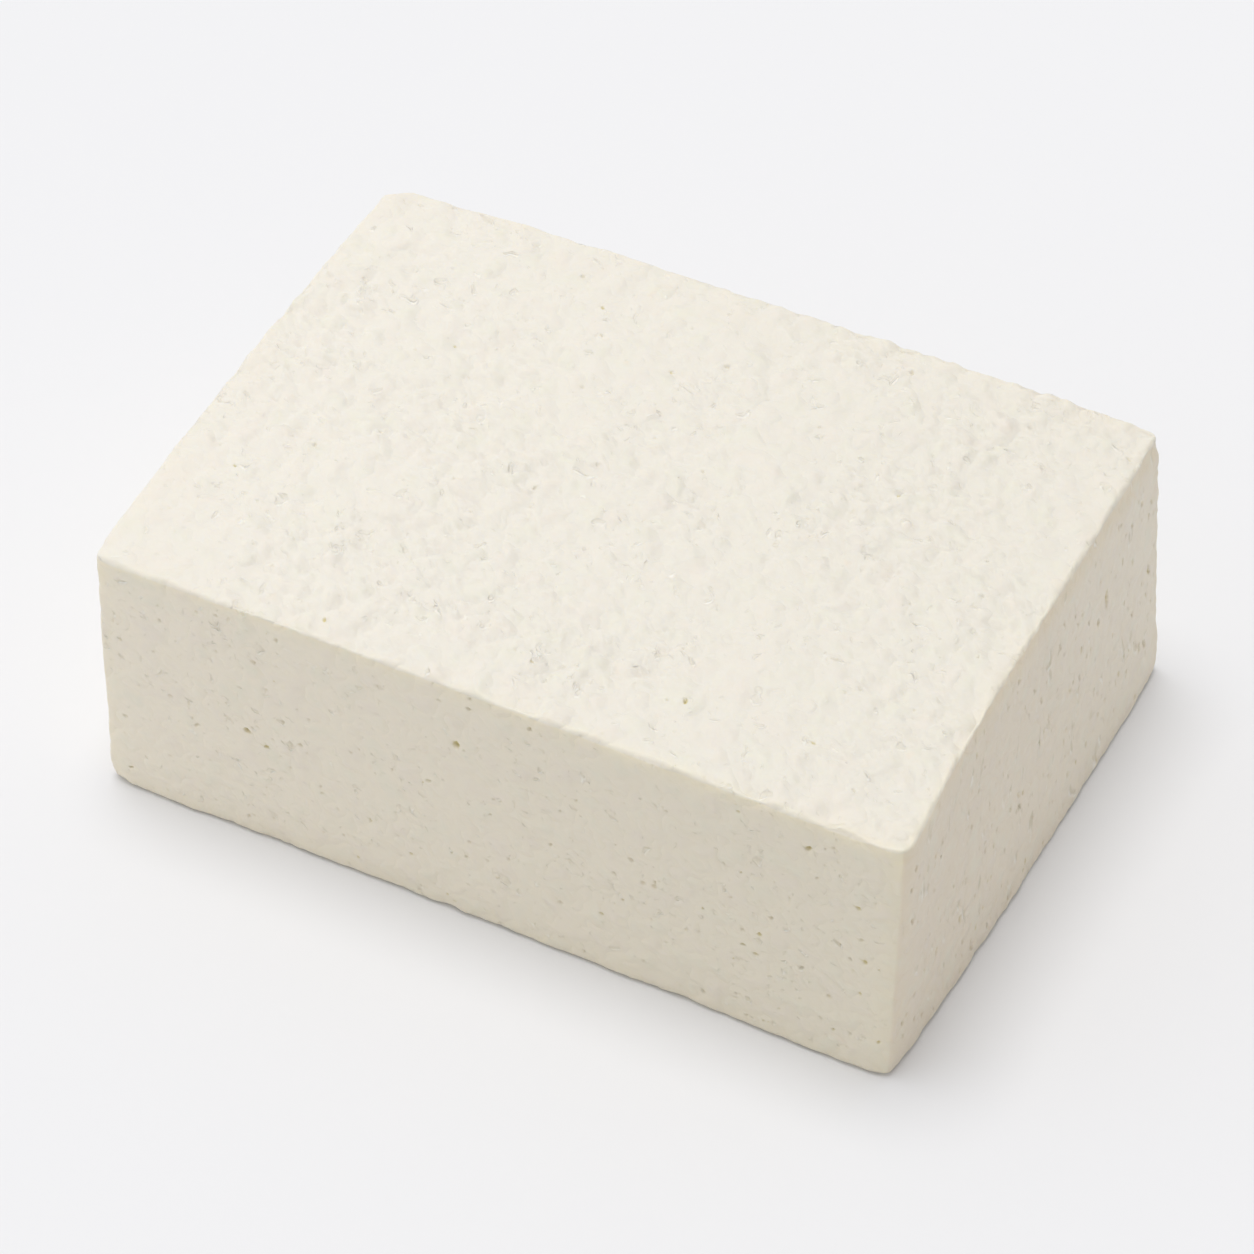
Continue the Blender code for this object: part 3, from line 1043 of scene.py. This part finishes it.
def fine_relief(tree, place, mark, lip_and_highlight):
    """Marks, lips, small folds and grain: a height in metres that bends the normal."""
    height = math_node(tree, "MULTIPLY", mark, -MARK_DEPTH)
    height = math_node(tree, "MULTIPLY_ADD", lip_and_highlight, LIP_HEIGHT, height)
    fold = math_node(tree, "SUBTRACT", noise_node(tree, place, FOLDS, detail=1.5), 0.5)
    fold = math_node(tree, "ABSOLUTE", fold)
    height = math_node(tree, "MULTIPLY_ADD", fold, FOLD_HEIGHT, height)
    grain = noise_node(tree, place, GRAINS, detail=1.0)
    height = math_node(tree, "MULTIPLY_ADD", grain, GRAIN_HEIGHT, height)
    bump = tree.nodes.new("ShaderNodeBump")
    bump.inputs["Distance"].default_value = 1.0
    plug(tree, height, bump.inputs["Height"])
    return bump.outputs["Normal"]


def tofu_material():
    material = bpy.data.materials.new("tofu curd")
    material.use_nodes = True
    tree = material.node_tree
    shader = tree.nodes["Principled BSDF"].inputs
    place = tree.nodes.new("ShaderNodeTexCoord").outputs["Object"]
    skin = attribute(tree, "skin")
    mark, lip_and_highlight = torn_marks(tree, place, skin)
    plug(tree, curd_colour(tree, place, skin, mark, lip_and_highlight), shader["Base Color"])
    plug(tree, fine_relief(tree, place, mark, lip_and_highlight), shader["Normal"])
    moist = smooth_range(tree, noise_node(tree, place, MOIST_PATCHES), *MOIST_FADE)
    rough = math_node(tree, "MULTIPLY_ADD", moist, ROUGHNESS_RANGE, LEAST_ROUGHNESS)
    plug(tree, rough, shader["Roughness"])
    shader["Specular IOR Level"].default_value = SHINE
    shader["Subsurface Weight"].default_value = SCATTERING
    shader["Subsurface Radius"].default_value = SCATTER_RADIUS
    shader["Subsurface Scale"].default_value = SCATTER_REACH
    return material


tofu.data.materials.append(tofu_material())
print("material:", tofu.data.materials[0].name)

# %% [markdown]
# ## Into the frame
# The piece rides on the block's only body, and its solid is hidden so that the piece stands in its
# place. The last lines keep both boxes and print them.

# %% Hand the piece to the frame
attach(tofu, "root")
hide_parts("tofu_block")

scene_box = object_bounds()
print("boxes, mm:", [[round(value / MM, 2) for value in corner]
                     for box in (cad_box, scene_box) for corner in box])
